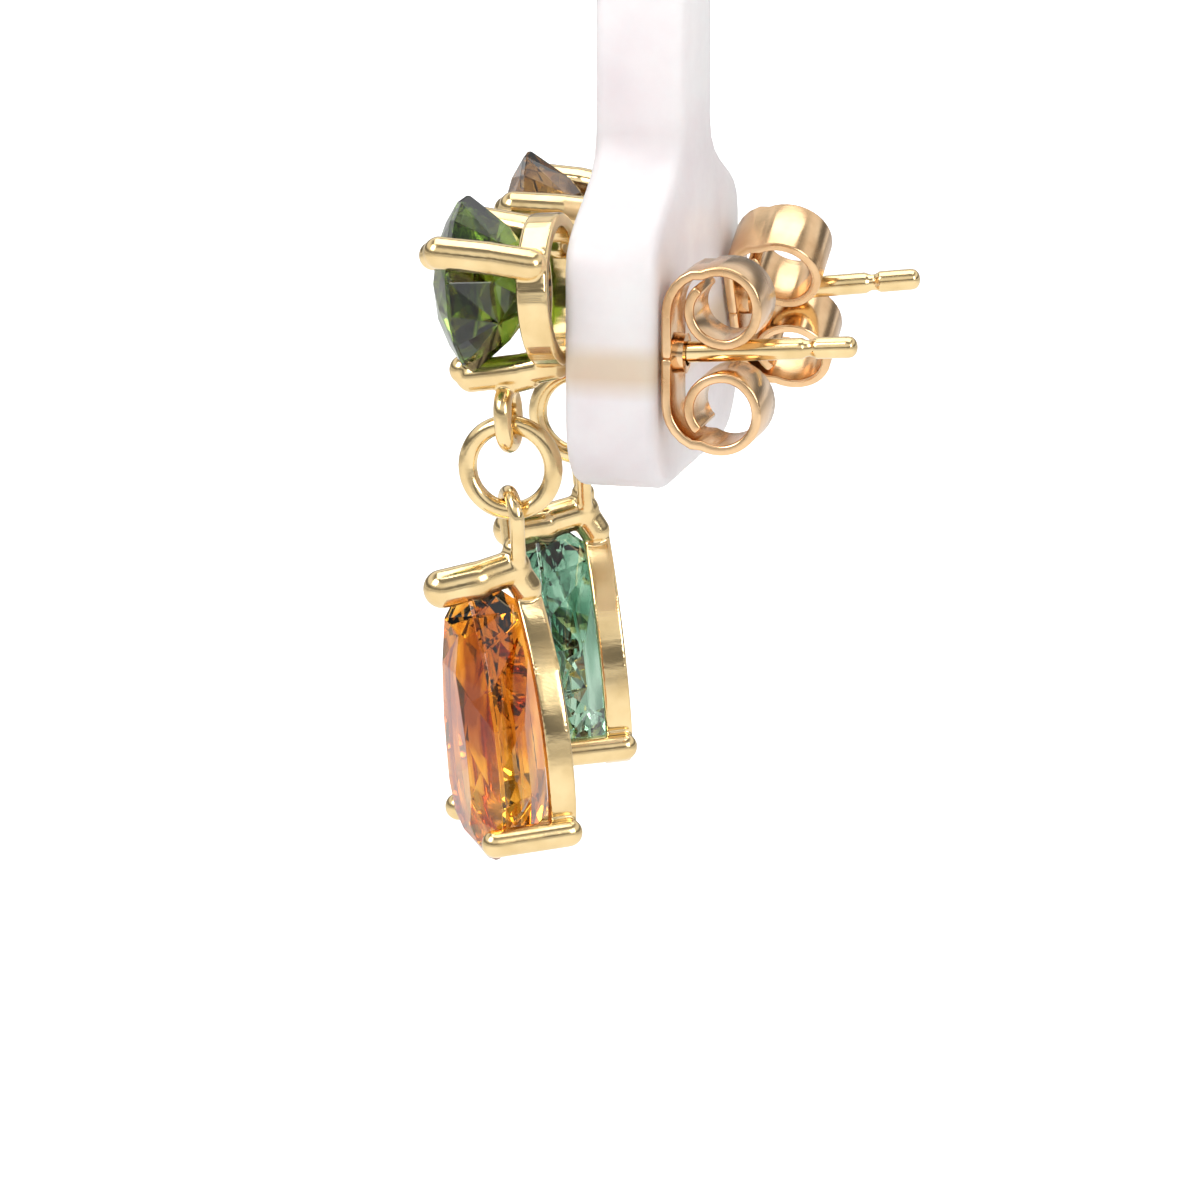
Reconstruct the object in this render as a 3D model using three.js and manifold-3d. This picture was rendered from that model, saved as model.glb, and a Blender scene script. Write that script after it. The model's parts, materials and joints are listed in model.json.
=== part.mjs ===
// A pair of drop earrings pinned through a plain acrylic display bar.
// Millimetres, +Z up. The origin is the middle of the bar's flat top, the fronts of the earrings face -Y
// and the posts point towards +Y.
import * as THREE from 'three';
import { mergeVertices } from 'three/addons/utils/BufferGeometryUtils.js';
import { ConvexGeometry } from 'three/addons/geometries/ConvexGeometry.js';
import Module from 'manifold-3d';

const wasm = await Module();
wasm.setup();

// ---- driving dimensions -------------------------------------------------------------------------

const GAP = 0.04; // clearance left between pieces that bear on one another

const BAR = {
  thickness: 3.3,
  neckHalf: 2.3,
  paddleHalf: 6.8,
  shoulderTop: -10.4,
  shoulderBottom: -14.6,
  bottom: -22.9,
  corner: 3.2,
  edge: 0.4,
};

const POST = { radius: 0.39, length: 10.5, groove: 8.75, grooveDepth: 0.1, height: -18 };

const STUD = {
  seat: -0.16, // how far the basket's back stands off the bar's front face
  ringCentre: 2.4, // height of the basket ring's centre above the post
  ringOuter: 2.75,
  ringInner: 2.22,
  ringDepth: 1.15,
  stoneCentre: 2.7,
  stoneRadius: 3.15,
  girdle: -3.5,
  crown: 0.9,
  pavilion: 2.5,
  table: 0.56,
  prongRadius: 0.6,
  prongBase: 3.0,
  prongTip: 3.45,
  prongEnd: -3.62,
  prongAngles: [30, 150, 270],
};

const EYE = { y: -2.5, z: -2.22, halfWidth: 0.78, halfHeight: 0.95, wire: 0.33 };

const LINK = { radius: 1.59, wire: 0.34 };

const DROP = {
  bailHalfWidth: 0.85,
  bailWire: 0.28,
  bailTop: 0.66,
  bailShoulder: -2.15,
  apex: -2.75,
  round: 2.9,
  blend: -6, // angle above the round end's widest point where the straight flank begins
  crown: 0.9,
  pavilion: 2.3,
  girdle: -1.9, // the stone's girdle plane stands this far in front of the bail
  lean: 5,
  vProngRadius: 0.72,
  vProngHeight: -2.42,
  vProngFront: -0.9,
  vProngBack: 2.45,
  clawRadius: 0.52,
  clawAcross: 2.72,
  clawDown: 1.6, // height of the claws below the middle of the round end
  clawFront: -0.38,
  clawBack: 2.33,
  railFront: 1.9,
  railBack: 2.7,
  railScale: 0.97,
  railWall: 0.5,
};

const BACK = {
  gauge: 0.4,
  width: 2.4,
  plateHalf: 2.9,
  scrollCentre: [2.2, 1.92],
  scrollHalf: [1.38, 1.38],
  collar: 0.8,
};

// One row for each earring: where its post sits, how it leans and turns, and its stone colours.
const EARRINGS = [
  {
    name: 'right',
    x: 5.0,
    yaw: 0,
    pitch: 4.5,
    dropLength: 10.0,
    dropTurn: 29,
    backStandOff: 0.1,
    backTurn: 0,
    stud: 0x39540f,
    drop: 0xd9780f,
  },
  {
    name: 'left',
    x: -5.0,
    yaw: 7,
    pitch: 6,
    dropLength: 9.1,
    dropTurn: 20,
    backStandOff: 0.1,
    backTurn: 28,
    stud: 0x5b3a12,
    drop: 0x3f8f70,
  },
];

const GOLD = { color: 0xd9b45a, roughness: 0.2, metalness: 1.0 };
const ROSE_GOLD = { color: 0xd99a5c, roughness: 0.25, metalness: 1.0 };
const ACRYLIC = { color: 0xf3e9e8, roughness: 0.3, metalness: 0.0 };

// ---- solid helpers ------------------------------------------------------------------------------

const rad = THREE.MathUtils.degToRad;

function toManifold(geometry) {
  const bare = new THREE.BufferGeometry();
  bare.setAttribute('position', geometry.getAttribute('position').clone());
  if (geometry.index) bare.setIndex(geometry.index.clone());
  const merged = mergeVertices(bare, 1e-4);
  return new wasm.Manifold(new wasm.Mesh({
    numProp: 3,
    vertProperties: new Float32Array(merged.getAttribute('position').array),
    triVerts: new Uint32Array(merged.index.array),
  }));
}

function toGeometry(solid) {
  const mesh = solid.getMesh();
  const geometry = new THREE.BufferGeometry();
  geometry.setAttribute('position', new THREE.BufferAttribute(new Float32Array(mesh.vertProperties), 3));
  geometry.setIndex(new THREE.BufferAttribute(new Uint32Array(mesh.triVerts), 1));
  geometry.computeVertexNormals();
  return geometry;
}

function union(geometries) {
  return geometries.map(toManifold).reduce((sum, next) => sum.add(next));
}

// A round bar of the given radius between two points, with rounded ends where asked.
function rod(from, to, radius, sides, roundFrom, roundTo) {
  const a = new THREE.Vector3(...from);
  const b = new THREE.Vector3(...to);
  const along = b.clone().sub(a);
  const length = along.length();
  const turn = new THREE.Quaternion().setFromUnitVectors(new THREE.Vector3(0, 1, 0), along.normalize());
  const points = [new THREE.Vector2(0, roundFrom ? -radius : 0)];
  const steps = 3;
  if (roundFrom) {
    for (let i = 1; i < steps; i += 1) {
      const angle = (i / steps) * (Math.PI / 2);
      points.push(new THREE.Vector2(radius * Math.sin(angle), -radius * Math.cos(angle)));
    }
  }
  points.push(new THREE.Vector2(radius, 0));
  points.push(new THREE.Vector2(radius, length));
  if (roundTo) {
    for (let i = 1; i < steps; i += 1) {
      const angle = (i / steps) * (Math.PI / 2);
      points.push(new THREE.Vector2(radius * Math.cos(angle), length + radius * Math.sin(angle)));
    }
  }
  points.push(new THREE.Vector2(0, roundTo ? length + radius : length));
  const geometry = new THREE.LatheGeometry(points, sides);
  geometry.applyQuaternion(turn);
  geometry.translate(a.x, a.y, a.z);
  return geometry;
}

// A wire swept round an ellipse that stands in the X-Z plane.
function hoop(halfWidth, halfHeight, wire, segments, sides) {
  const geometry = new THREE.TorusGeometry(1, wire, sides, segments);
  const position = geometry.getAttribute('position');
  for (let i = 0; i < position.count; i += 1) {
    const x = position.getX(i);
    const y = position.getY(i);
    const r = Math.hypot(x, y) || 1;
    const across = x / r;
    const up = y / r;
    const out = r - 1;
    position.setXY(i, across * (halfWidth + out), up * (halfHeight + out));
  }
  geometry.rotateX(Math.PI / 2);
  return geometry;
}

// ---- stones -------------------------------------------------------------------------------------

function tier(outline, depth) {
  return outline.map(([x, z]) => new THREE.Vector3(x, depth, z));
}

// The outline drawn in by a distance; a pointed end draws back a little further than a round one.
function inset(outline, distance) {
  const half = Math.max(...outline.map(([x]) => x));
  const top = Math.max(...outline.map(([, z]) => z));
  const side = (half - distance) / half;
  const point = (top - distance * (top / half) ** 0.3) / top;
  return outline.map(([x, z]) => [x * side, z * (z > 0 ? point : side)]);
}

// A faceted stone from its girdle outline: table at the front (-Y), point or keel at the back.
function stone(outline, table, crown, pavilion, grow) {
  const half = Math.max(...outline.map(([x]) => x));
  const grown = inset(outline, -grow);
  const everyOther = grown.filter((_, i) => i % 2 === 0);
  return new ConvexGeometry([
    ...tier(inset(everyOther, (1 - table) * half), -crown - grow),
    ...tier(grown, -0.07 - grow),
    ...tier(grown, 0.07 + grow),
    ...tier(inset(everyOther, 0.48 * half), 0.62 * pavilion + grow),
    ...tier(inset(everyOther, 0.95 * half), pavilion + grow),
  ]);
}

function roundOutline(radius, count) {
  return Array.from({ length: count }, (_, i) => {
    const angle = ((i + 0.5) / count) * 2 * Math.PI;
    return [radius * Math.cos(angle), radius * Math.sin(angle)];
  });
}

// The pear outline about the middle of its round end: a small arc below, a large arc up each flank.
function pearOutline(length, radius, blend, flankSteps, roundSteps) {
  const apex = length - radius;
  const n = [Math.cos(rad(blend)), Math.sin(rad(blend))];
  const t = [radius * n[0], radius * n[1]];
  const toApex = [t[0], t[1] - apex];
  const flank = (toApex[0] ** 2 + toApex[1] ** 2) / (2 * (toApex[0] * n[0] + toApex[1] * n[1]));
  const centre = [t[0] - flank * n[0], t[1] - flank * n[1]];
  const end = Math.atan2(apex - centre[1], -centre[0]);
  const start = rad(blend);
  const right = [];
  for (let i = 0; i < roundSteps; i += 1) {
    const angle = -Math.PI / 2 + (i / roundSteps) * (start + Math.PI / 2);
    right.push([radius * Math.cos(angle), radius * Math.sin(angle)]);
  }
  for (let i = 0; i < flankSteps; i += 1) {
    const angle = start + (i / flankSteps) * (end - start);
    right.push([centre[0] + flank * Math.cos(angle), centre[1] + flank * Math.sin(angle)]);
  }
  const left = right.slice(1).reverse().map(([x, z]) => [-x, z]);
  return [...right, [0, apex], ...left];
}

const studOutline = roundOutline(STUD.stoneRadius, 16);

function studStone(grow) {
  const geometry = stone(studOutline, STUD.table, STUD.crown, STUD.pavilion, grow);
  geometry.translate(0, STUD.girdle, STUD.stoneCentre);
  return geometry;
}

// Height of the middle of a drop's round end, for a drop of the given length.
function roundEnd(length) {
  return DROP.apex - length + DROP.round;
}

function pear(length) {
  return pearOutline(length, DROP.round, DROP.blend, 6, 4);
}

function dropStone(length, grow) {
  const geometry = stone(pear(length), 0.58, DROP.crown, DROP.pavilion, grow);
  geometry.translate(0, DROP.girdle, roundEnd(length));
  return geometry;
}

// ---- gold pieces --------------------------------------------------------------------------------

// The post: a lathe-turned pin with a stop groove near its rounded tip.
function post() {
  const r = POST.radius;
  const waist = r - POST.grooveDepth;
  const profile = [
    [0, -0.9],
    [r, -0.9],
    [r, POST.groove - 0.22],
    [waist, POST.groove - 0.1],
    [waist, POST.groove + 0.1],
    [r, POST.groove + 0.22],
    [r, POST.length - 0.2],
    [r * 0.72, POST.length - 0.05],
    [0, POST.length],
  ];
  return new THREE.LatheGeometry(profile.map(([x, y]) => new THREE.Vector2(x, y)), 16);
}

function basketRing() {
  const { ringOuter: outer, ringInner: inner, ringDepth: depth } = STUD;
  const profile = [[inner, -depth], [outer, -depth], [outer, 0], [inner, 0], [inner, -depth]];
  const geometry = new THREE.LatheGeometry(profile.map(([x, y]) => new THREE.Vector2(x, y)), 36);
  geometry.translate(0, 0, STUD.ringCentre);
  return geometry;
}

function studProng(angle) {
  const c = Math.cos(rad(angle));
  const s = Math.sin(rad(angle));
  const base = [STUD.prongBase * c, -STUD.prongRadius, STUD.ringCentre + STUD.prongBase * s];
  const tip = [STUD.prongTip * c, STUD.prongEnd, STUD.stoneCentre + STUD.prongTip * s];
  return rod(base, tip, STUD.prongRadius, 12, true, true);
}

function eye() {
  const geometry = hoop(EYE.halfWidth, EYE.halfHeight, EYE.wire, 20, 10);
  geometry.translate(0, EYE.y, EYE.z);
  return geometry;
}

function studSetting() {
  const metal = union([post(), basketRing(), eye(), ...STUD.prongAngles.map(studProng)]);
  return metal.subtract(toManifold(studStone(GAP)));
}

function link() {
  const geometry = new THREE.TorusGeometry(LINK.radius, LINK.wire, 10, 28);
  geometry.rotateY(Math.PI / 2);
  geometry.translate(0, 0, -LINK.radius);
  return toManifold(geometry);
}

// The bail: a tall wire loop whose legs run down into the top of the drop's setting.
function bail() {
  const w = DROP.bailHalfWidth;
  const arch = DROP.bailTop - w;
  const path = new THREE.CatmullRomCurve3([
    [-0.35, DROP.bailShoulder],
    [-w * 0.8, DROP.bailShoulder + 0.6],
    [-w, arch],
    [-w * 0.71, arch + w * 0.71],
    [0, DROP.bailTop],
    [w * 0.71, arch + w * 0.71],
    [w, arch],
    [w * 0.8, DROP.bailShoulder + 0.6],
    [0.35, DROP.bailShoulder],
  ].map(([x, z]) => new THREE.Vector3(x, 0, z)));
  const section = new THREE.Shape();
  section.absarc(0, 0, DROP.bailWire, 0, 2 * Math.PI);
  return new THREE.ExtrudeGeometry(section, { extrudePath: path, steps: 22, curveSegments: 5 });
}

function band(outline, wall, front, back) {
  const shape = new THREE.Shape(outline.map(([x, z]) => new THREE.Vector2(x, z)));
  const scale = 1 - wall / DROP.round;
  shape.holes.push(new THREE.Path(outline.map(([x, z]) => new THREE.Vector2(x * scale, z * scale))));
  const geometry = new THREE.ExtrudeGeometry(shape, { depth: back - front, bevelEnabled: false });
  geometry.rotateX(Math.PI / 2);
  geometry.translate(0, back, 0);
  return geometry;
}

function dropSetting(length) {
  const y = DROP.girdle;
  const middle = roundEnd(length);
  const railOutline = pear(length).map(([x, z]) => [x * DROP.railScale, z * DROP.railScale]);
  const rail = band(railOutline, DROP.railWall, y + DROP.railFront, y + DROP.railBack);
  rail.translate(0, 0, middle);
  const vProng = rod(
    [0, y + DROP.vProngBack, DROP.vProngHeight],
    [0, y + DROP.vProngFront, DROP.vProngHeight],
    DROP.vProngRadius,
    14,
    true,
    true,
  );
  const claws = [-1, 1].map((side) => rod(
    [side * DROP.clawAcross, y + DROP.clawBack, middle - DROP.clawDown],
    [side * DROP.clawAcross, y + DROP.clawFront, middle - DROP.clawDown],
    DROP.clawRadius,
    12,
    true,
    true,
  ));
  const metal = union([bail(), rail, vProng, ...claws]);
  return metal.subtract(toManifold(dropStone(length, GAP)));
}

// The butterfly back: one strip bent into a plate with a scroll rolled over each end. It sits square on the
// bar, so the post's bore runs through it at the post's own lean and turn.
function butterfly(pitch, yaw, turn) {
  const [cy, cz] = BACK.scrollCentre;
  const [hy, hz] = BACK.scrollHalf;
  const outer = [];
  const turnSteps = 16;
  const path = [];
  for (let i = 0; i <= 6; i += 1) {
    path.push([0.2, (i / 6) * (BACK.plateHalf - 0.35)]);
  }
  for (let i = 1; i <= turnSteps; i += 1) {
    const angle = rad(150) - (i / turnSteps) * rad(320);
    path.push([cy + hy * Math.cos(angle), cz + hz * Math.sin(angle)]);
  }
  const half = BACK.gauge / 2;
  const inner = [];
  path.forEach(([y, z], i) => {
    const before = path[Math.max(i - 1, 0)];
    const after = path[Math.min(i + 1, path.length - 1)];
    const along = new THREE.Vector2(after[0] - before[0], after[1] - before[1]).normalize();
    outer.push([y - along.y * half, z + along.x * half]);
    inner.push([y + along.y * half, z - along.x * half]);
  });
  const wing = new THREE.Shape([...outer, ...inner.reverse()].map(([y, z]) => new THREE.Vector2(y, z)));
  const upper = new THREE.ExtrudeGeometry(wing, { depth: BACK.width, bevelEnabled: false });
  upper.translate(0, 0, -BACK.width / 2);
  upper.applyMatrix4(new THREE.Matrix4().set(0, 0, 1, 0, 1, 0, 0, 0, 0, 1, 0, 0, 0, 0, 0, 1));
  const top = toManifold(upper);
  const bottom = top.mirror([0, 0, 1]);
  const collar = toManifold(rod([0, 0, 0], [0, 0.7, 0], BACK.collar, 16, false, false));
  const bore = rod([0, -1, 0], [0, 9, 0], POST.radius + GAP, 16, false, false);
  bore.applyMatrix4(new THREE.Matrix4().makeRotationFromEuler(new THREE.Euler(pitch, 0, yaw, 'ZXY')));
  bore.rotateY(-turn);
  return top.add(bottom).add(collar).subtract(toManifold(bore));
}

// ---- the display bar ----------------------------------------------------------------------------

function barOutline() {
  const { neckHalf, paddleHalf, shoulderTop, shoulderBottom, bottom, corner, edge } = BAR;
  const shape = new THREE.Shape();
  const bend = (shoulderTop - shoulderBottom) * 0.5;
  shape.moveTo(-neckHalf, edge);
  shape.lineTo(-neckHalf, shoulderTop);
  shape.bezierCurveTo(
    -neckHalf, shoulderTop - bend, -paddleHalf, shoulderBottom + bend, -paddleHalf, shoulderBottom,
  );
  shape.lineTo(-paddleHalf, bottom + corner);
  shape.quadraticCurveTo(-paddleHalf, bottom, -paddleHalf + corner, bottom);
  shape.lineTo(paddleHalf - corner, bottom);
  shape.quadraticCurveTo(paddleHalf, bottom, paddleHalf, bottom + corner);
  shape.lineTo(paddleHalf, shoulderBottom);
  shape.bezierCurveTo(
    paddleHalf, shoulderBottom + bend, neckHalf, shoulderTop - bend, neckHalf, shoulderTop,
  );
  shape.lineTo(neckHalf, edge);
  shape.closePath();
  return shape;
}

function displayBar(bores) {
  const { thickness, edge } = BAR;
  const geometry = new THREE.ExtrudeGeometry(barOutline(), {
    depth: thickness - 2 * edge,
    curveSegments: 8,
    bevelThickness: edge,
    bevelSize: edge,
    bevelOffset: -edge,
    bevelSegments: 3,
  });
  geometry.rotateX(Math.PI / 2);
  geometry.translate(0, thickness / 2 - edge, 0);
  let bar = toManifold(geometry);
  for (const bore of bores) bar = bar.subtract(bore);
  const above = new THREE.BoxGeometry(20, 20, 2);
  above.translate(0, 0, 1);
  return bar.subtract(toManifold(above));
}

// ---- assembly -----------------------------------------------------------------------------------

function piece(name, solid, look) {
  const mesh = new THREE.Mesh(toGeometry(solid), new THREE.MeshStandardMaterial({ ...look }));
  mesh.name = name;
  return mesh;
}

function gem(color) {
  return { color, roughness: 0.05, metalness: 0.0 };
}

const group = new THREE.Group();
group.name = 'drop_earrings_on_bar';
const bores = [];

for (const row of EARRINGS) {
  const pinned = new THREE.Group();
  pinned.name = `${row.name}_pinned`;
  pinned.position.set(row.x, -BAR.thickness / 2 + STUD.seat, POST.height);
  pinned.rotation.set(rad(row.pitch), 0, rad(row.yaw), 'ZXY');
  pinned.add(piece(`${row.name}_stud_setting`, studSetting(), GOLD));
  pinned.add(piece(`${row.name}_stud_stone`, toManifold(studStone(0)), gem(row.stud)));

  pinned.updateMatrixWorld(true);
  group.add(pinned);

  const turn = rad(row.backTurn);
  const back = piece(`${row.name}_butterfly_back`, butterfly(rad(row.pitch), rad(row.yaw), turn), ROSE_GOLD);
  const reach = BAR.thickness - STUD.seat + row.backStandOff;
  back.position.copy(pinned.localToWorld(new THREE.Vector3(0, reach / Math.cos(rad(row.pitch)), 0)));
  back.rotation.y = turn;
  group.add(back);

  const bore = rod([0, -1, 0], [0, 8, 0], POST.radius + GAP, 16, false, false);
  bore.applyMatrix4(pinned.matrixWorld);
  bores.push(toManifold(bore));

  // The link hangs on the eye's lowest wire and the drop hangs on the link's lowest wire.
  const hang = pinned.localToWorld(new THREE.Vector3(0, EYE.y, EYE.z - EYE.halfHeight));
  const linkTop = hang.z + EYE.wire + LINK.wire + GAP;
  const ring = piece(`${row.name}_jump_ring`, link(), GOLD);
  ring.position.set(hang.x, hang.y, linkTop);
  group.add(ring);

  const hanging = new THREE.Group();
  hanging.name = `${row.name}_hanging`;
  hanging.position.set(hang.x, hang.y, linkTop - 2 * LINK.radius);
  hanging.rotation.set(rad(DROP.lean), 0, rad(row.dropTurn), 'ZXY');
  hanging.add(piece(`${row.name}_drop_setting`, dropSetting(row.dropLength), GOLD));
  hanging.add(piece(`${row.name}_drop_stone`, toManifold(dropStone(row.dropLength, 0)), gem(row.drop)));
  group.add(hanging);
}

group.add(piece('display_bar', displayBar(bores), ACRYLIC));

export default group;
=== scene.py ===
# %% [markdown]
# A pair of stud-and-drop earrings pinned through an acrylic display bar.
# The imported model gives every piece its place. This lesson remodels the fine metal, cuts the stones with
# proper facets and gives each surface its finish. All lengths are in metres, so a helper turns the
# jeweller's millimetres into metres once, at the start.

# %% Load the frame
import json
import math

import bmesh
import bpy
from mathutils import Matrix, Vector

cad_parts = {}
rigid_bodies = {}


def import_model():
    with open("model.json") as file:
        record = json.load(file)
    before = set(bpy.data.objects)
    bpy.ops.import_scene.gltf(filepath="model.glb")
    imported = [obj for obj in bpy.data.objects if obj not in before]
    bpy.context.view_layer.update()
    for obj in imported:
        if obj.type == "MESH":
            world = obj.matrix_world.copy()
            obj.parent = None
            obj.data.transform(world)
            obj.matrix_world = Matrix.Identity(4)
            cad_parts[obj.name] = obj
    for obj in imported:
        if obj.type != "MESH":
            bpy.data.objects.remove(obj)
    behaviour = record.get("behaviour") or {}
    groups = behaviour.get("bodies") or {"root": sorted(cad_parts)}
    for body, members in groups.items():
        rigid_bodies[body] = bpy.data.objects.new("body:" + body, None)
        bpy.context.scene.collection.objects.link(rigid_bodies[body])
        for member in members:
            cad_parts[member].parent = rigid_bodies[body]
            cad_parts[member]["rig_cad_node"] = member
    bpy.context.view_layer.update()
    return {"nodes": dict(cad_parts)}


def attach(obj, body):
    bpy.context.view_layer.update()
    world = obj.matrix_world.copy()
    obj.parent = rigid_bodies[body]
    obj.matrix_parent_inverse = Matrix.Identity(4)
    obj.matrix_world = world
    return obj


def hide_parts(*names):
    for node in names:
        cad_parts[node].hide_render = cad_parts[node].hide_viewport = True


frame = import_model()
MM = 0.001


def mm(*values):
    """A point given in millimetres, as a vector in metres."""
    return Vector(values) * MM


print("frame nodes:", len(frame["nodes"]))

# %% [markdown]
# The camera stands at the side of the pair and a little behind it, slightly above, with a long lens.
# A long lens lets the camera stand 300 mm away, which is far beside the 10 mm between the two earrings, so
# both come out nearly the same size. The camera is made first, so every later look can be judged from the
# same place.

# %% Camera
VIEW_TURN = math.radians(14)
VIEW_RISE = math.radians(13.5)
VIEW_DISTANCE = 0.3
LENS, SENSOR = 252, 36
POST_PLACE = mm(5.0, -1.81, -18)
AIM_RIGHT, AIM_DOWN = 1.036 * MM, 8.75 * MM
to_camera = Vector((
    math.cos(VIEW_TURN) * math.cos(VIEW_RISE),
    math.sin(VIEW_TURN) * math.cos(VIEW_RISE),
    math.sin(VIEW_RISE),
))
to_right = Vector((-math.sin(VIEW_TURN), math.cos(VIEW_TURN), 0))
to_top = to_camera.cross(to_right)
aim = POST_PLACE + to_right * AIM_RIGHT - to_top * AIM_DOWN

camera_data = bpy.data.cameras.new("camera")
camera_data.lens = LENS
camera_data.sensor_width = SENSOR
camera_data.clip_start = 0.01
camera = bpy.data.objects.new("camera", camera_data)
bpy.context.scene.collection.objects.link(camera)
turn = Matrix((to_right, to_top, to_camera)).transposed().to_4x4()
camera.matrix_world = Matrix.Translation(aim + to_camera * VIEW_DISTANCE) @ turn
bpy.context.scene.camera = camera
print("camera at", [round(c, 4) for c in camera.matrix_world.translation])

# %% [markdown]
# The floor is a wide pale sheet well below the earrings, so it fills the background without catching a
# hard shadow. It glows a little, but only where the camera sees it, so the glow lights nothing.

# %% Floor
FLOOR_SIZE, FLOOR_DROP = 5, 0.12
FLOOR_GREY, FLOOR_GLOW = 0.85, 0.7
bpy.ops.object.select_all(action="DESELECT")
bpy.ops.mesh.primitive_grid_add(
    x_subdivisions=8, y_subdivisions=8, size=FLOOR_SIZE, location=(0, 0, -FLOOR_DROP),
)
floor = bpy.context.active_object
floor.name = "floor"
bpy.ops.object.transform_apply(location=True, rotation=True, scale=True)
floor_look = bpy.data.materials.new("white_floor")
floor_look.use_nodes = True
floor_base = floor_look.node_tree.nodes["Principled BSDF"]
floor_base.inputs["Base Color"].default_value = (FLOOR_GREY, FLOOR_GREY, FLOOR_GREY, 1)
floor_base.inputs["Roughness"].default_value = 0.9
floor_base.inputs["Emission Color"].default_value = (1, 1, 1, 1)
seen = floor_look.node_tree.nodes.new("ShaderNodeLightPath")
lit = floor_look.node_tree.nodes.new("ShaderNodeMath")
lit.operation = "MULTIPLY"
lit.inputs[1].default_value = FLOOR_GLOW
floor_look.node_tree.links.new(seen.outputs["Is Camera Ray"], lit.inputs[0])
floor_look.node_tree.links.new(lit.outputs["Value"], floor_base.inputs["Emission Strength"])
floor.data.materials.append(floor_look)
print("floor corners:", len(floor.data.vertices))

# %% [markdown]
# The light comes from a white room: a bright sky all round with two darker bands, because polished gold
# looks flat when everything it mirrors is white. The camera itself sees plain white instead of the bands.

# %% Room light
# Each band is a height, from 0 straight below to 1 straight above, and the grey of the room there.
BANDS = [
    (0.0, 0.95), (0.5, 0.9), (0.56, 0.16), (0.63, 0.2),
    (0.68, 0.95), (0.8, 1.0), (0.9, 0.25), (1.0, 0.3),
]
scene = bpy.context.scene
scene.view_settings.view_transform = "Standard"
room = bpy.data.worlds.new("white_room")
scene.world = room
room.use_nodes = True
room_nodes = room.node_tree.nodes
room_links = room.node_tree.links
sky = room_nodes["Background"]
where = room_nodes.new("ShaderNodeTexCoord")
split = room_nodes.new("ShaderNodeSeparateXYZ")
bands = room_nodes.new("ShaderNodeValToRGB")
room_links.new(where.outputs["Generated"], split.inputs[0])
lift = room_nodes.new("ShaderNodeMapRange")
lift.inputs["From Min"].default_value = -1
lift.inputs["From Max"].default_value = 1
room_links.new(split.outputs["Z"], lift.inputs["Value"])
room_links.new(lift.outputs["Result"], bands.inputs["Fac"])
ramp = bands.color_ramp
while len(ramp.elements) < len(BANDS):
    ramp.elements.new(0.5)
for step, (height, grey) in zip(ramp.elements, BANDS):
    step.position = height
    step.color = (grey, grey, grey, 1)
seen_sky = room_nodes.new("ShaderNodeMix")
seen_sky.data_type = "RGBA"
seen_sky.inputs["B"].default_value = (1, 1, 1, 1)
room_links.new(room_nodes.new("ShaderNodeLightPath").outputs["Is Camera Ray"], seen_sky.inputs["Factor"])
room_links.new(bands.outputs["Color"], seen_sky.inputs["A"])
room_links.new(seen_sky.outputs["Result"], sky.inputs["Color"])
sky.inputs["Strength"].default_value = 1.0
print("room bands:", len(ramp.elements))

# %% [markdown]
# Three large soft lamps stand in front, behind and above, and give the gold its long highlights.

# %% Lamps
def lamp(name, place, size, power):
    """A square soft lamp that faces the middle of the pair."""
    data = bpy.data.lights.new(name, "AREA")
    data.size = size
    data.energy = power
    light = bpy.data.objects.new(name, data)
    scene.collection.objects.link(light)
    light.location = place
    light.rotation_euler = (aim - light.location).to_track_quat("-Z", "Y").to_euler()
    return light


lamp("key_lamp", aim + Vector((0.35, -0.35, 0.45)), 0.35, 2.4)
lamp("rear_lamp", aim + Vector((0.3, 0.5, 0.25)), 0.3, 1.3)
lamp("top_lamp", aim + Vector((-0.1, 0.0, 0.6)), 0.6, 2.6)

# %% [markdown]
# Most pieces here are wires, turned parts and bent strips. Each starts as one point that is drawn out with
# extrude, step by step, as a jeweller draws a line: a turned part is that line spun round its axis, and a
# strip is that line pushed sideways and thickened. These helpers do the selecting and the placing, so that
# each later cell only says the shape.

# %% Helpers for selecting, drawing and placing
def only(piece):
    """Selects this object alone and makes it the active one."""
    bpy.ops.object.select_all(action="DESELECT")
    piece.select_set(True)
    bpy.context.view_layer.objects.active = piece


def pick(piece, test):
    """In edit mode, selects the vertices for which test(position) is true."""
    bpy.ops.mesh.select_mode(type="VERT")
    bpy.ops.mesh.select_all(action="DESELECT")
    shape = bmesh.from_edit_mesh(piece.data)
    for vertex in shape.verts:
        vertex.select = test(vertex.co)
    shape.select_flush(True)
    bmesh.update_edit_mesh(piece.data)


def drawn(name, points):
    """A line of edges through the points, drawn out from one vertex."""
    bpy.ops.object.select_all(action="DESELECT")
    bpy.ops.mesh.primitive_plane_add(size=MM)
    piece = bpy.context.active_object
    piece.name = name
    bpy.ops.object.mode_set(mode="EDIT")
    bpy.ops.mesh.select_all(action="SELECT")
    bpy.ops.mesh.merge(type="CENTER")
    bpy.ops.transform.translate(value=points[0])
    for before, after in zip(points, points[1:]):
        bpy.ops.mesh.extrude_region_move(TRANSFORM_OT_translate={"value": after - before})
    bpy.ops.mesh.select_all(action="SELECT")
    return piece


def finished(piece):
    """Merges doubles, turns the faces outwards and goes back to object mode."""
    bpy.ops.mesh.select_all(action="SELECT")
    bpy.ops.mesh.remove_doubles(threshold=2e-6)
    bpy.ops.mesh.normals_make_consistent(inside=False)
    bpy.ops.object.mode_set(mode="OBJECT")
    return piece


def placed(piece, matrix):
    """Moves the piece to its place and leaves its object at the origin, unturned."""
    only(piece)
    piece.matrix_world = matrix
    bpy.ops.object.transform_apply(location=True, rotation=True, scale=True)
    return piece


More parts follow.
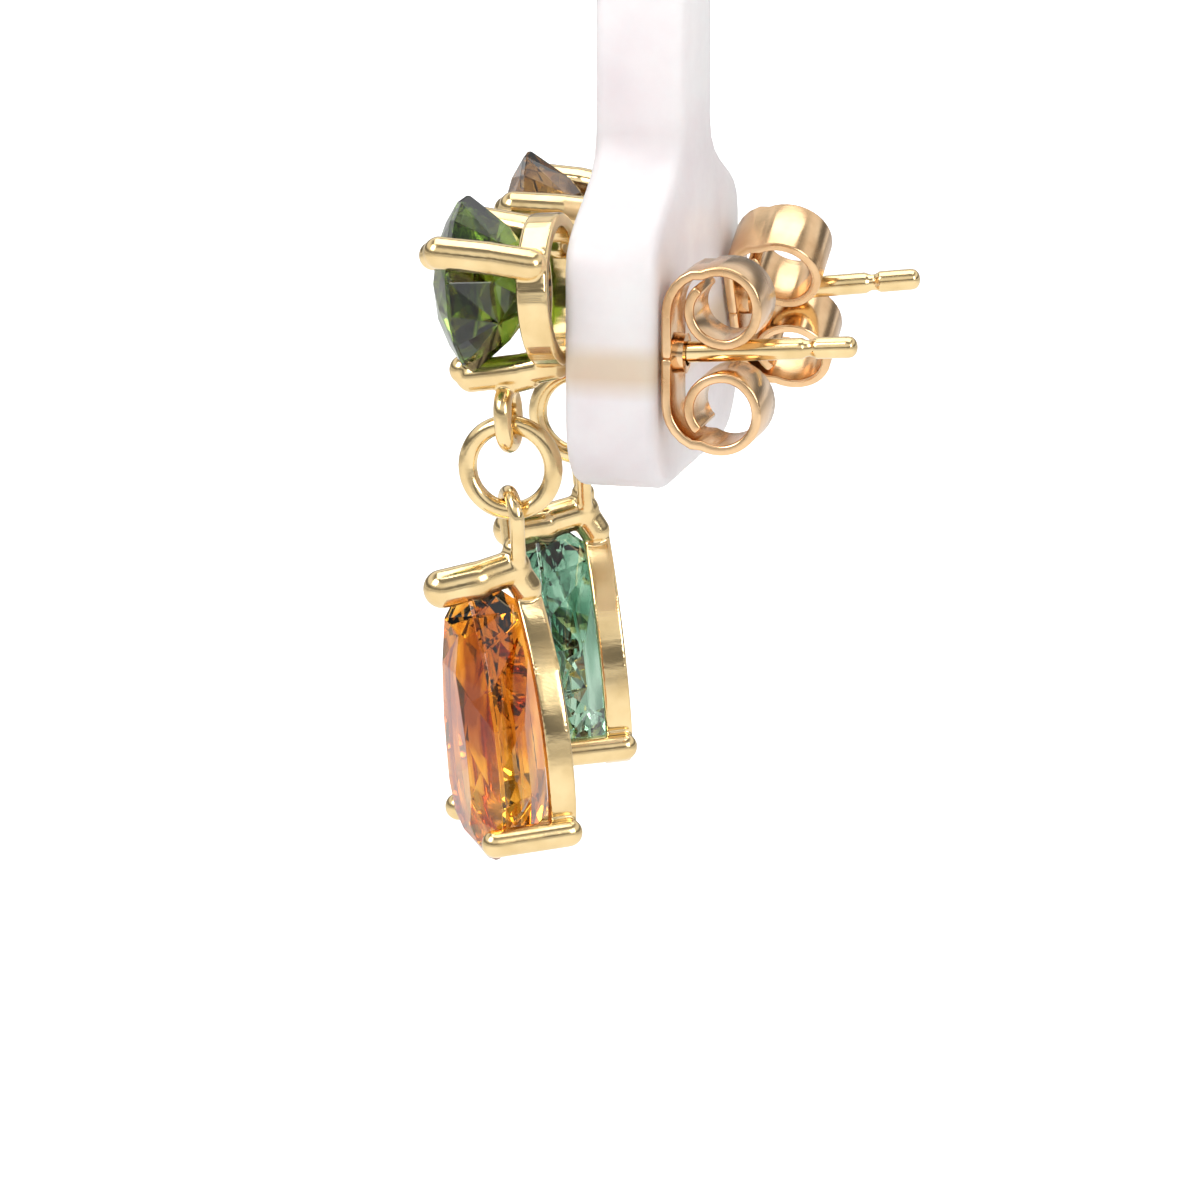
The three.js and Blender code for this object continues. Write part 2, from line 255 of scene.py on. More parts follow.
def joined(name, pieces):
    """Joins the soldered pieces into one object."""
    only(pieces[0])
    for piece in pieces:
        piece.select_set(True)
    bpy.ops.object.join()
    pieces[0].name = name
    pieces[0].data.name = name
    return pieces[0]


def applied(piece, kind, **values):
    """Adds a modifier with these values and applies it."""
    only(piece)
    modifier = piece.modifiers.new(kind.lower(), kind)
    for key, value in values.items():
        setattr(modifier, key, value)
    bpy.ops.object.modifier_apply(modifier=modifier.name)
    return piece


def bevelled(piece, width, segments, angle):
    """Breaks every edge sharper than the angle by a width in millimetres."""
    limit = math.radians(angle)
    return applied(
        piece, "BEVEL", width=width * MM, segments=segments, limit_method="ANGLE", angle_limit=limit)


def smooth(piece, angle=40):
    """Shades smooth across edges flatter than the angle."""
    only(piece)
    bpy.ops.object.shade_smooth_by_angle(angle=math.radians(angle))
    return piece


HELPERS = (only, pick, drawn, finished, placed, joined, applied, bevelled, smooth)
print("helpers:", [helper.__name__ for helper in HELPERS])

# %% [markdown]
# A prong or claw is a round wire with a rounded end. The quickest clean way is a ball cut at its waist:
# the upper half is picked and moved along, and the waist band becomes the wire.

# %% Round wires
WIRE_SIDES, LOOP_STEPS, LOOP_SIDES, SPIN_STEPS = 32, 56, 20, 40


def wire(name, start, end, radius):
    """A straight round wire with a rounded tip at both ends."""
    bpy.ops.object.select_all(action="DESELECT")
    bpy.ops.mesh.primitive_uv_sphere_add(segments=WIRE_SIDES, ring_count=16, radius=radius)
    piece = bpy.context.active_object
    piece.name = name
    bpy.ops.object.mode_set(mode="EDIT")
    pick(piece, lambda co: co.z > radius * 0.01)
    bpy.ops.transform.translate(value=(0, 0, (end - start).length))
    bpy.ops.object.mode_set(mode="OBJECT")
    turned_to = (end - start).to_track_quat("Z", "Y").to_matrix().to_4x4()
    return placed(piece, Matrix.Translation(start) @ turned_to)


def loop(name, centre, half_width, half_height, radius):
    """A closed round wire loop standing in the X-Z plane, a little taller than wide if asked."""
    bpy.ops.object.select_all(action="DESELECT")
    bpy.ops.mesh.primitive_torus_add(
        major_radius=half_width, minor_radius=radius, major_segments=LOOP_STEPS, minor_segments=LOOP_SIDES,
    )
    piece = bpy.context.active_object
    piece.name = name
    bpy.ops.object.mode_set(mode="EDIT")
    stretch = half_height - half_width
    if stretch > 0:
        pick(piece, lambda co: co.y > half_width * 0.05)
        bpy.ops.transform.translate(value=(0, stretch, 0))
        pick(piece, lambda co: co.y < -half_width * 0.05)
        bpy.ops.transform.translate(value=(0, -stretch, 0))
    bpy.ops.object.mode_set(mode="OBJECT")
    return placed(piece, Matrix.Translation(centre) @ Matrix.Rotation(math.pi / 2, 4, "X"))


def turned(name, profile):
    """A turned piece: a line of (radius, along Y) points in millimetres, spun once round the Y axis."""
    piece = drawn(name, [mm(r, y, 0) for r, y in profile])
    bpy.ops.mesh.spin(steps=SPIN_STEPS, angle=2 * math.pi, center=(0, 0, 0), axis=(0, 1, 0))
    return finished(piece)


print("sides of a wire and of a loop:", WIRE_SIDES, LOOP_SIDES)

# %% [markdown]
# Parts that are soldered together have no sharp corners between them. Remesh melts the joined parts into one
# skin of tiny cells, and a few rounds of smoothing fill the corners as solder would.

# %% Cast metal
GRAIN = 0.055


def cast(piece, soften):
    """Melts the joined parts into one skin and rounds the corners between them, as solder does."""
    applied(piece, "REMESH", mode="VOXEL", voxel_size=GRAIN * MM, adaptivity=0)
    applied(piece, "SMOOTH", factor=0.5, iterations=soften)
    return smooth(piece, 180)


print("cell size of cast metal, mm:", GRAIN)

# %% [markdown]
# The stud's setting is one soldered piece: a post that goes through the ear, a basket ring, three claws and
# an eye for the jump ring. It is modelled once in its own frame, where the post points along +Y and the
# front faces -Y, and then copied for the second earring.

# %% Stud setting
POST_RADIUS, POST_ROOT, POST_LENGTH = 0.39, -0.9, 10.5
TIP_ROUND = 0.3
GROOVE, GROOVE_DEEP, GROOVE_LIP, GROOVE_FLOOR = 8.75, 0.1, 0.24, 0.14
RING_CENTRE = 2.4
STONE_CENTRE = 2.7
EYE_Y, EYE_Z, EYE_WIDE, EYE_TALL, EYE_WIRE = -2.5, -2.22, 0.78, 0.95, 0.33
STUD_SOFTEN = 4
CLAW_ANGLES = (30, 150, 270)
CLAW_WIRE, HOOK_WIRE, SOLDER_WIRE = 0.6, 0.54, 0.46
# A claw bends at four points: how far out it stands, its place along Y and the height it is measured from.
CLAW_BENDS = [
    (2.68, -0.62, RING_CENTRE), (3.06, -2.0, STONE_CENTRE - 0.15),
    (3.36, -3.72, STONE_CENTRE), (3.12, -4.0, STONE_CENTRE),
]


def post():
    """The post, with a groove near its end where the butterfly stops, and a rounded tip."""
    waist = POST_RADIUS - GROOVE_DEEP
    tip = [
        (POST_RADIUS * math.cos(a), POST_LENGTH - TIP_ROUND + TIP_ROUND * math.sin(a))
        for a in (math.radians(15 * i) for i in range(7))
    ]
    groove = [
        (POST_RADIUS, GROOVE - GROOVE_LIP), (waist + 0.02, GROOVE - GROOVE_FLOOR), (waist, GROOVE),
        (waist + 0.02, GROOVE + GROOVE_FLOOR), (POST_RADIUS, GROOVE + GROOVE_LIP),
    ]
    return turned("post", [(0, POST_ROOT), (POST_RADIUS, POST_ROOT)] + groove + tip)


def basket_ring():
    """The flat band behind the stone, with its four edges broken."""
    outer, inner, depth, edge = 2.75, 2.22, 1.15, 0.09
    profile = [
        (inner, -depth + edge), (inner + edge, -depth), (outer - edge, -depth), (outer, -depth + edge),
        (outer, -edge), (outer - edge, 0), (inner + edge, 0), (inner, -edge), (inner, -depth + edge),
    ]
    ring = turned("basket_ring", profile)
    return placed(ring, Matrix.Translation(mm(0, 0, RING_CENTRE)))


def stud_claw(angle):
    """One claw of three lengths of wire, whose last one hooks over the stone's edge."""
    across, up = math.cos(math.radians(angle)), math.sin(math.radians(angle))
    root, knee, shoulder, hook = (mm(out * across, y, middle + out * up) for out, y, middle in CLAW_BENDS)
    return [
        wire("claw_root", root, knee, CLAW_WIRE * MM),
        wire("claw_shaft", knee, shoulder, CLAW_WIRE * MM),
        wire("claw_hook", shoulder, hook, HOOK_WIRE * MM),
    ]


def stud_setting():
    """Post, basket ring, eye, solder and claws, melted into one piece."""
    eye = loop("eye", mm(0, EYE_Y, EYE_Z), EYE_WIDE * MM, EYE_TALL * MM, EYE_WIRE * MM)
    claws = [part for angle in CLAW_ANGLES for part in stud_claw(angle)]
    solder = wire("solder", mm(0, EYE_Y, -0.95), mm(0, EYE_Y + 0.9, -0.75), SOLDER_WIRE * MM)
    return cast(joined("stud_setting", [post(), basket_ring(), eye, solder, *claws]), STUD_SOFTEN)


first_stud = stud_setting()
print("stud setting faces:", len(first_stud.data.polygons))

# %% [markdown]
# A faceted stone is flat everywhere, so it isn't rounded at all: it is the tightest skin round a few rings
# of points. The rings are the table, the crown's star points, the girdle, the pavilion and the keel, and
# Blender's convex hull stretches the skin. Each ring is the girdle outline drawn in by a distance.

# %% Faceted stones
# How far each ring is drawn in, as a part of the stone's half width, and how high or deep it lies, as a
# part of the crown's or the pavilion's height.
STAR_IN, STAR_HIGH = 0.24, 0.66
BELLY_IN, BELLY_DEEP = 0.34, 0.56
LOWER_IN, LOWER_DEEP = 0.62, 0.83
KEEL_IN = 0.94
GIRDLE_HALF, EDGE_BREAK = 0.07, 0.018
ROUND_RADIUS, ROUND_SIDES = 3.15, 16


def inset(outline, distance, back=1.0):
    """The outline drawn in; back says how far its two ends draw back for each step of its sides."""
    half = max(x for x, _ in outline)
    top = max(z for _, z in outline)
    side = (half - distance) / half
    point = (top - distance * back) / top
    heel = (half - distance * back) / half
    return [(x * side, z * (point if z > 0 else heel)) for x, z in outline]


def gem(name, outline, crown, pavilion, table, centre, back=1.0, lower_stars=True):
    """A stone whose table faces -Y, cut from its girdle outline of (x, z) points in millimetres."""
    half = max(x for x, _ in outline)
    even, odd = outline[::2], outline[1::2]
    tiers = [
        (inset(even, (1 - table) * half), -crown),
        (inset(odd, STAR_IN * half), -crown * STAR_HIGH),
        (outline, -GIRDLE_HALF),
        (outline, GIRDLE_HALF),
        (inset(even, BELLY_IN * half, back), pavilion * BELLY_DEEP),
        (inset(even, KEEL_IN * half, back), pavilion),
    ]
    if lower_stars:
        tiers.append((inset(odd, LOWER_IN * half, back), pavilion * LOWER_DEEP))
    points = [mm(x, y, z) for ring, y in tiers for x, z in ring]
    piece = drawn(name, points)
    bpy.ops.mesh.convex_hull(use_existing_faces=False, join_triangles=True)
    finished(piece)
    bevelled(piece, EDGE_BREAK, 1, 8)
    return placed(piece, Matrix.Translation(centre))


def round_outline(radius, count):
    """The corners of a round stone's girdle."""
    angles = [(i + 0.5) / count * 2 * math.pi for i in range(count)]
    return [(radius * math.cos(a), radius * math.sin(a)) for a in angles]


def pear_outline(length, radius, flank_steps, round_steps):
    """A pear about the middle of its round end: a small arc below and one large arc up each flank."""
    apex = length - radius
    start = math.radians(-6)
    nx, nz = math.cos(start), math.sin(start)
    tx, tz = radius * nx, radius * nz - apex
    flank = (tx * tx + tz * tz) / (2 * (tx * nx + tz * nz))
    cx, cz = radius * nx - flank * nx, radius * nz - flank * nz
    end = math.atan2(apex - cz, -cx)
    right = []
    for i in range(round_steps):
        angle = -math.pi / 2 + i / round_steps * (start + math.pi / 2)
        right.append((radius * math.cos(angle), radius * math.sin(angle)))
    for i in range(flank_steps):
        angle = start + i / flank_steps * (end - start)
        right.append((cx + flank * math.cos(angle), cz + flank * math.sin(angle)))
    return right + [(0, apex)] + [(-x, z) for x, z in reversed(right[1:])]


stud_outline = round_outline(ROUND_RADIUS, ROUND_SIDES)
first_round = gem("stud_stone", stud_outline, 0.9, 2.5, 0.56, mm(0, -3.5, STONE_CENTRE))
print("stud stone facets:", len(first_round.data.polygons))

# %% [markdown]
# The drop is a long pear stone held by a cap claw on its point and two claws low on its round end. A flat
# band, the gallery rail, follows the stone's outline behind it, and a tall bail carries the whole drop.
# The bail is a wire loop whose lower half is moved down and pinched together. All heights are measured from
# the middle of the jump ring's wire, on which the drop hangs.

# %% Drop
DROP_ROUND = 2.9
DROP_APEX = -2.75
GIRDLE = -1.9
RAIL_INSIDE, RAIL_START, RAIL_DEEP, RAIL_THICK = 0.97, 1.75, 0.98, 0.5
CAP_WIRE, RISE_WIRE, NECK_WIRE, FALL_WIRE = 0.72, 0.66, 0.44, 0.58
LOW_CLAW_WIRE, LOW_CLAW_OUT, LOW_CLAW_DOWN = 0.52, 2.72, 1.6
LOW_CLAW_BACK, LOW_CLAW_FRONT = 2.33, -0.38
DROP_SOFTEN = 10
TIP_HIDDEN = 0.4


def bail():
    """The tall loop that the drop hangs by."""
    half, thick, top = 0.85, 0.28, 0.66
    piece = loop("bail", mm(0, 0, top - half), half * MM, half * MM, thick * MM)
    bpy.ops.object.mode_set(mode="EDIT")
    middle = (top - half) * MM
    pick(piece, lambda co: co.z < middle - 0.02 * MM)
    bpy.ops.transform.translate(value=mm(0, 0, -1.05))
    bpy.ops.transform.resize(value=(0.72, 1, 1), center_override=mm(0, 0, -1.5))
    bpy.ops.object.mode_set(mode="OBJECT")
    return piece


def gallery_rail(length, middle):
    """The flat band behind the stone, which follows its outline."""
    outline = [(x * RAIL_INSIDE, z * RAIL_INSIDE) for x, z in pear_outline(length, DROP_ROUND, 26, 14)]
    points = [mm(x, GIRDLE + RAIL_START, z + middle) for x, z in outline + outline[:1]]
    piece = drawn("gallery_rail", points)
    bpy.ops.mesh.extrude_region_move(TRANSFORM_OT_translate={"value": mm(0, RAIL_DEEP, 0)})
    finished(piece)
    applied(piece, "SOLIDIFY", thickness=RAIL_THICK * MM, offset=-1, use_even_offset=True)
    return bevelled(piece, 0.07, 2, 40)


def low_claw(side, low):
    """One of the two straight claws beside the stone's round end."""
    behind = mm(side * LOW_CLAW_OUT, GIRDLE + LOW_CLAW_BACK, low)
    front = mm(side * LOW_CLAW_OUT, GIRDLE + LOW_CLAW_FRONT, low)
    return wire("claw", behind, front, LOW_CLAW_WIRE * MM)


def drop_setting(length):
    """The cap over the stone's point, its bail, the rail and the low claws, melted into one piece."""
    middle = DROP_APEX - length + DROP_ROUND
    cap = wire("cap_claw", mm(0, GIRDLE + 0.4, -2.4), mm(0, GIRDLE - 0.85, -2.5), CAP_WIRE * MM)
    rise = wire("rise", mm(0, GIRDLE + 0.2, -2.4), mm(0, -0.1, -2.1), RISE_WIRE * MM)
    neck = wire("neck", mm(0, -0.1, -2.0), mm(0, 0, -1.45), NECK_WIRE * MM)
    fall = wire("fall", mm(0, -0.1, -2.15), mm(0, GIRDLE + 2.2, -2.9), FALL_WIRE * MM)
    claws = [low_claw(side, middle - LOW_CLAW_DOWN) for side in (-1, 1)]
    rail = gallery_rail(length, middle)
    return cast(joined("drop_setting", [bail(), rail, cap, rise, neck, fall, *claws]), DROP_SOFTEN)


def drop_stone(length):
    """The pear stone, whose point reaches a little under the cap."""
    middle = DROP_APEX - length + DROP_ROUND
    outline = pear_outline(length + TIP_HIDDEN, DROP_ROUND, 6, 4)
    return gem("drop_stone", outline, 0.9, 2.3, 0.58, mm(0, GIRDLE, middle), 0.5, False)


print("pear stone, mm wide:", 2 * DROP_ROUND)

# %% [markdown]
# The butterfly back is one springy strip: a flat plate against the bar, with each end rolled into a curl
# beside the post. The strip's line is drawn in side view, pushed sideways by its width and thickened.

# %% Butterfly back
STRIP_WIDTH, STRIP_THICK = 2.4, 0.36
CURL_Y, CURL_Z, CURL_DEEP, CURL_TALL = 2.14, 1.9, 1.36, 1.34
CURL_STEPS, CURL_START, CURL_SWEEP = 36, 118, 340
TIGHTEN_FROM, TIGHTEN_BY = 20, 0.26
COLLAR = [(0.46, 0.05), (0.72, 0.05), (0.76, 0.12), (0.72, 0.7), (0.46, 0.74), (0.46, 0.05)]


def wing_line():
    """The strip in side view, as (y, z): flat by the post, round the corner and into the curl."""
    line = [(0.2, z * 0.25) for z in range(0, 7)]
    line += [(0.21, 1.75), (0.25, 2.0), (0.35, 2.3), (0.53, 2.6), (0.8, 2.87), (1.14, 3.07)]
    for i in range(0, CURL_STEPS + 1):
        angle = math.radians(CURL_START - i / CURL_STEPS * CURL_SWEEP)
        shrink = 1 - TIGHTEN_BY * max(0, (i - TIGHTEN_FROM) / (CURL_STEPS - TIGHTEN_FROM))
        y = CURL_Y + CURL_DEEP * shrink * math.cos(angle)
        z = CURL_Z + CURL_TALL * shrink * math.sin(angle)
        line.append((y, z))
    return line


def butterfly():
    """Two curled wings and the collar that grips the post."""
    wings = []
    line = wing_line()
    for side in (1, -1):
        piece = drawn("wing", [mm(-STRIP_WIDTH / 2, y, z * side) for y, z in line])
        bpy.ops.mesh.extrude_region_move(TRANSFORM_OT_translate={"value": mm(STRIP_WIDTH, 0, 0)})
        finished(piece)
        applied(piece, "SOLIDIFY", thickness=STRIP_THICK * MM, offset=0, use_even_offset=True)
        bevelled(piece, 0.1, 3, 50)
        wings.append(piece)
    return smooth(joined("butterfly", [*wings, turned("collar", COLLAR)]), 45)


first_back = butterfly()
print("butterfly faces:", len(first_back.data.polygons))

# %% [markdown]
# Each earring is placed from a few numbers: where its post sits, how it leans and turns, and how its drop
# has turned on the ring. The studs and butterflies are copies of the ones above; each copy has its own
# mesh, so one can be changed without the other.

# %% Put both earrings together
BAR_THICK, HOLE_Z = 3.3, -18
FRONT_GAP, BACK_GAP = 0.16, 0.1
RING_RADIUS, RING_WIRE, GAP = 1.59, 0.34, 0.04
DROP_LEAN = 5
EARRINGS = {
    "right": {"x": 5.0, "yaw": 0, "pitch": 4.5, "length": 10.0, "drop_turn": 29, "back_turn": 0},
    "left": {"x": -5.0, "yaw": 7, "pitch": 6, "length": 9.1, "drop_turn": 20, "back_turn": 28},
}


def leaned(turn_deg, lean_deg):
    """A turn about the upright axis after a lean about the sideways axis."""
    turn_part = Matrix.Rotation(math.radians(turn_deg), 4, "Z")
    return turn_part @ Matrix.Rotation(math.radians(lean_deg), 4, "X")


def copied(piece, name):
    """A copy with its own mesh."""
    twin = piece.copy()
    twin.data = piece.data.copy()
    twin.name = name
    twin.data.name = name
    scene.collection.objects.link(twin)
    return twin


pieces = {}
for side, row in EARRINGS.items():
    hole = Matrix.Translation(mm(row["x"], -BAR_THICK / 2 - FRONT_GAP, HOLE_Z))
    pinned = hole @ leaned(row["yaw"], row["pitch"])
    pieces[side, "stud_setting"] = placed(copied(first_stud, f"{side}_stud_gold"), pinned)
    pieces[side, "stud_stone"] = placed(copied(first_round, f"{side}_stud_gem"), pinned)

    reach = (BAR_THICK + FRONT_GAP + BACK_GAP) / math.cos(math.radians(row["pitch"]))
    back_turn = Matrix.Rotation(math.radians(row["back_turn"]), 4, "Y")
    seat = Matrix.Translation(pinned @ mm(0, reach, 0)) @ back_turn
    pieces[side, "butterfly_back"] = placed(copied(first_back, f"{side}_butterfly"), seat)

    hang = pinned @ mm(0, EYE_Y, EYE_Z - EYE_TALL)
    ring_top = hang + mm(0, 0, EYE_WIRE + RING_WIRE + GAP)
    ring = loop(f"{side}_ring", mm(0, 0, 0), RING_RADIUS * MM, RING_RADIUS * MM, RING_WIRE * MM)
    upright = Matrix.Translation(ring_top - mm(0, 0, RING_RADIUS)) @ Matrix.Rotation(math.pi / 2, 4, "Z")
    pieces[side, "jump_ring"] = smooth(placed(ring, upright))

    swing = Matrix.Translation(ring_top - mm(0, 0, 2 * RING_RADIUS)) @ leaned(row["drop_turn"], DROP_LEAN)
    setting, stone = drop_setting(row["length"]), drop_stone(row["length"])
    setting.name, stone.name = f"{side}_drop_gold", f"{side}_drop_gem"
    pieces[side, "drop_setting"] = placed(setting, swing)
    pieces[side, "drop_stone"] = placed(stone, swing)

for model in (first_stud, first_round, first_back):
    bpy.data.objects.remove(model)
print("pieces:", sorted(p.name for p in pieces.values()))

# %% [markdown]
# The display bar is a routed acrylic strip with softened edges. The frame's own bar already has the right
# outline and holes, so a copy of it is merged into one skin and shaded smooth. The copy drops the label that
# names the frame's node, since only the frame's own bar may carry it.

# %% Display bar
bar = copied(frame["nodes"]["display_bar"], "acrylic_bar")
bar.parent = None
only(bar)
bpy.ops.object.mode_set(mode="EDIT")
finished(bar)
bar.data.materials.clear()
smooth(bar, 35)
del bar["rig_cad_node"]
print("bar faces:", len(bar.data.polygons))

# %% [markdown]
# Every piece rides on the body it moves with and stands for its plain node of the frame.

# %% Ride and replace
BODY = {"jump_ring": "link", "drop_setting": "drop", "drop_stone": "drop"}
for (side, part), piece in pieces.items():
    body = f"{side}_{BODY[part]}" if part in BODY else "bar_and_studs"
    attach(piece, body)
    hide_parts(f"{side}_{part}")
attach(bar, "bar_and_studs")
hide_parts("display_bar")
print("pieces that ride and replace:", len(pieces) + 1)

# %% [markdown]
# Polished metal is never one even colour. Fingers leave a faint haze, the polishing wheel leaves fine
# lines, and both change the roughness more than the colour. This group makes that wear once, for both
# golds: a slow haze, fine scratches for the bump and a mask for the duller places.

# %% Polish wear group
def new_group(name, inputs, outputs):
    group = bpy.data.node_groups.new(name, "ShaderNodeTree")
    for label, value in inputs:
        socket = group.interface.new_socket(name=label, in_out="INPUT", socket_type="NodeSocketFloat")
        socket.default_value = value
    for label, kind in outputs:
        group.interface.new_socket(name=label, in_out="OUTPUT", socket_type=kind)
    return group, group.nodes.new("NodeGroupInput"), group.nodes.new("NodeGroupOutput")


wear, wear_in, wear_out = new_group(
    "polish_wear",
    [("Haze Scale", 700.0), ("Low Roughness", 0.1), ("High Roughness", 0.25)],
    [("Roughness", "NodeSocketFloat"), ("Haze", "NodeSocketFloat"), ("Scratches", "NodeSocketFloat")],
)
wear_place = wear.nodes.new("ShaderNodeTexCoord")
haze = wear.nodes.new("ShaderNodeTexNoise")
haze.inputs["Detail"].default_value = 4
wear.links.new(wear_place.outputs["Object"], haze.inputs["Vector"])
wear.links.new(wear_in.outputs["Haze Scale"], haze.inputs["Scale"])
spread = wear.nodes.new("ShaderNodeMapRange")
spread.inputs["From Min"].default_value = 0.35
spread.inputs["From Max"].default_value = 0.7
wear.links.new(haze.outputs["Fac"], spread.inputs["Value"])
wear.links.new(wear_in.outputs["Low Roughness"], spread.inputs["To Min"])
wear.links.new(wear_in.outputs["High Roughness"], spread.inputs["To Max"])
wear.links.new(spread.outputs["Result"], wear_out.inputs["Roughness"])
wear.links.new(haze.outputs["Fac"], wear_out.inputs["Haze"])
stretch = wear.nodes.new("ShaderNodeMapping")
stretch.inputs["Scale"].default_value = (9000, 900, 9000)
lines = wear.nodes.new("ShaderNodeTexNoise")
lines.inputs["Scale"].default_value = 1.0
lines.inputs["Detail"].default_value = 2
wear.links.new(wear_place.outputs["Object"], stretch.inputs["Vector"])
wear.links.new(stretch.outputs["Vector"], lines.inputs["Vector"])
wear.links.new(lines.outputs["Fac"], wear_out.inputs["Scratches"])
print("group outputs:", [s.name for s in wear.interface.items_tree if s.in_out == "OUTPUT"])

# %% [markdown]
# The settings are pale yellow gold. The butterflies come from another batch and are a little redder.
# Gold is all mirror, so its colour sits in the Base Color of a metallic surface and darkens slightly where
# the haze lies.

# %% Gold
def gold(name, bright, dull, low, high):
    """A gold of two shades, with the roughness of its polished and of its hazy places."""
    look = bpy.data.materials.new(name)
    look.use_nodes = True
    nodes, links = look.node_tree.nodes, look.node_tree.links
    surface = nodes["Principled BSDF"]
    surface.inputs["Metallic"].default_value = 1.0
    polish = nodes.new("ShaderNodeGroup")
    polish.node_tree = wear
    polish.inputs["Low Roughness"].default_value = low
    polish.inputs["High Roughness"].default_value = high
    tint = nodes.new("ShaderNodeValToRGB")
    tint.color_ramp.elements[0].position = 0.35
    tint.color_ramp.elements[0].color = (*bright, 1)
    tint.color_ramp.elements[1].position = 0.75
    tint.color_ramp.elements[1].color = (*dull, 1)
    links.new(polish.outputs["Haze"], tint.inputs["Fac"])
    links.new(tint.outputs["Color"], surface.inputs["Base Color"])
    links.new(polish.outputs["Roughness"], surface.inputs["Roughness"])
    bump = nodes.new("ShaderNodeBump")
    bump.inputs["Strength"].default_value = 0.12
    bump.inputs["Distance"].default_value = 0.00002
    links.new(polish.outputs["Scratches"], bump.inputs["Height"])
    links.new(bump.outputs["Normal"], surface.inputs["Normal"])
    return look


yellow_gold = gold("yellow_gold", (0.87, 0.67, 0.36), (0.72, 0.52, 0.25), 0.1, 0.24)
rose_gold = gold("rose_gold", (0.85, 0.58, 0.33), (0.68, 0.41, 0.20), 0.14, 0.3)
print("golds:", yellow_gold.name, rose_gold.name)

# %% [markdown]
# A gemstone is coloured glass with a higher bend. Natural crystals aren't even: their colour lies in long
# zones and fine veils. The zones are a stretched noise, a few cells to each stone, that runs from a dark
# colour to a light one, and the glass itself keeps a plain transmission.

# %% Gemstones
def gemstone(name, dark, middle, light, bend, zones):
    """A clear coloured stone; zones says how many cells of noise there are to a metre, each way."""
    look = bpy.data.materials.new(name)
    look.use_nodes = True
    nodes, links = look.node_tree.nodes, look.node_tree.links
    surface = nodes["Principled BSDF"]
    surface.inputs["Transmission Weight"].default_value = 1.0
    surface.inputs["IOR"].default_value = bend
    surface.inputs["Roughness"].default_value = 0.01
    place = nodes.new("ShaderNodeTexCoord")
    along = nodes.new("ShaderNodeMapping")
    along.inputs["Scale"].default_value = zones
    zone = nodes.new("ShaderNodeTexNoise")
    zone.inputs["Scale"].default_value = 1.0
    zone.inputs["Detail"].default_value = 3
    zone.inputs["Distortion"].default_value = 0.6
    tint = nodes.new("ShaderNodeValToRGB")
    tint.color_ramp.elements[0].position = 0.42
    tint.color_ramp.elements[0].color = (*dark, 1)
    tint.color_ramp.elements[1].position = 0.64
    tint.color_ramp.elements[1].color = (*light, 1)
    centre = tint.color_ramp.elements.new(0.52)
    centre.color = (*middle, 1)
    links.new(place.outputs["Object"], along.inputs["Vector"])
    links.new(along.outputs["Vector"], zone.inputs["Vector"])
    links.new(zone.outputs["Fac"], tint.inputs["Fac"])
    links.new(tint.outputs["Color"], surface.inputs["Base Color"])
    return look


ROUND_ZONES = (500, 500, 500)
GEMS = {
    ("right", "stud_stone"): gemstone(
        "green_stone", (0.015, 0.035, 0.003), (0.09, 0.16, 0.012), (0.24, 0.36, 0.04), 1.62, ROUND_ZONES,
    ),
    ("right", "drop_stone"): gemstone(
        "orange_stone", (0.3, 0.05, 0.002), (0.78, 0.24, 0.01), (1.0, 0.52, 0.07), 1.55, (500, 500, 160),
    ),
    ("left", "stud_stone"): gemstone(
        "brown_stone", (0.05, 0.018, 0.003), (0.2, 0.085, 0.015), (0.45, 0.25, 0.06), 1.62, ROUND_ZONES,
    ),
    ("left", "drop_stone"): gemstone(
        "teal_stone", (0.04, 0.15, 0.08), (0.2, 0.42, 0.27), (0.5, 0.75, 0.56), 1.62, (700, 700, 120),
    ),
}
print("gemstones:", [look.name for look in GEMS.values()])

# %% [markdown]
# The bar is milky acrylic: light sinks in, scatters and comes out a little pink. The gold posts run through
# it and their colour shows through the plastic, so a soft band of warm brown, painted light from the gold,
# is laid at the height of the posts.

# %% Acrylic
# The warm band is painted light: the gold posts' colour as seen through the plastic, laid into the bar's
# colour.
PAINTED_POST_LIGHT_LOW, PAINTED_POST_LIGHT_HIGH = -0.0205, -0.0155
PAINTED_POST_LIGHT_STEPS = [(0.42, (0.84, 0.71, 0.53)), (0.55, (0.88, 0.77, 0.60)), (0.68, (0.98, 0.96, 0.94))]
acrylic = bpy.data.materials.new("milky_acrylic")
acrylic.use_nodes = True
nodes, links = acrylic.node_tree.nodes, acrylic.node_tree.links
surface = nodes["Principled BSDF"]
surface.inputs["Subsurface Weight"].default_value = 0.5
surface.inputs["Subsurface Scale"].default_value = 0.002
surface.inputs["Subsurface Radius"].default_value = (1.0, 0.8, 0.8)
surface.inputs["Transmission Weight"].default_value = 0.3
surface.inputs["IOR"].default_value = 1.49
place = nodes.new("ShaderNodeTexCoord")
cloud = nodes.new("ShaderNodeTexNoise")
cloud.inputs["Scale"].default_value = 240
cloud.inputs["Detail"].default_value = 5
links.new(place.outputs["Object"], cloud.inputs["Vector"])
milk = nodes.new("ShaderNodeValToRGB")
milk.color_ramp.elements[0].position = 0.3
milk.color_ramp.elements[0].color = (0.83, 0.765, 0.785, 1)
milk.color_ramp.elements[1].position = 0.7
milk.color_ramp.elements[1].color = (0.97, 0.945, 0.945, 1)
links.new(cloud.outputs["Fac"], milk.inputs["Fac"])
split = nodes.new("ShaderNodeSeparateXYZ")
links.new(place.outputs["Object"], split.inputs["Vector"])
height = nodes.new("ShaderNodeMapRange")
height.inputs["From Min"].default_value = PAINTED_POST_LIGHT_LOW
height.inputs["From Max"].default_value = PAINTED_POST_LIGHT_HIGH
links.new(split.outputs["Z"], height.inputs["Value"])
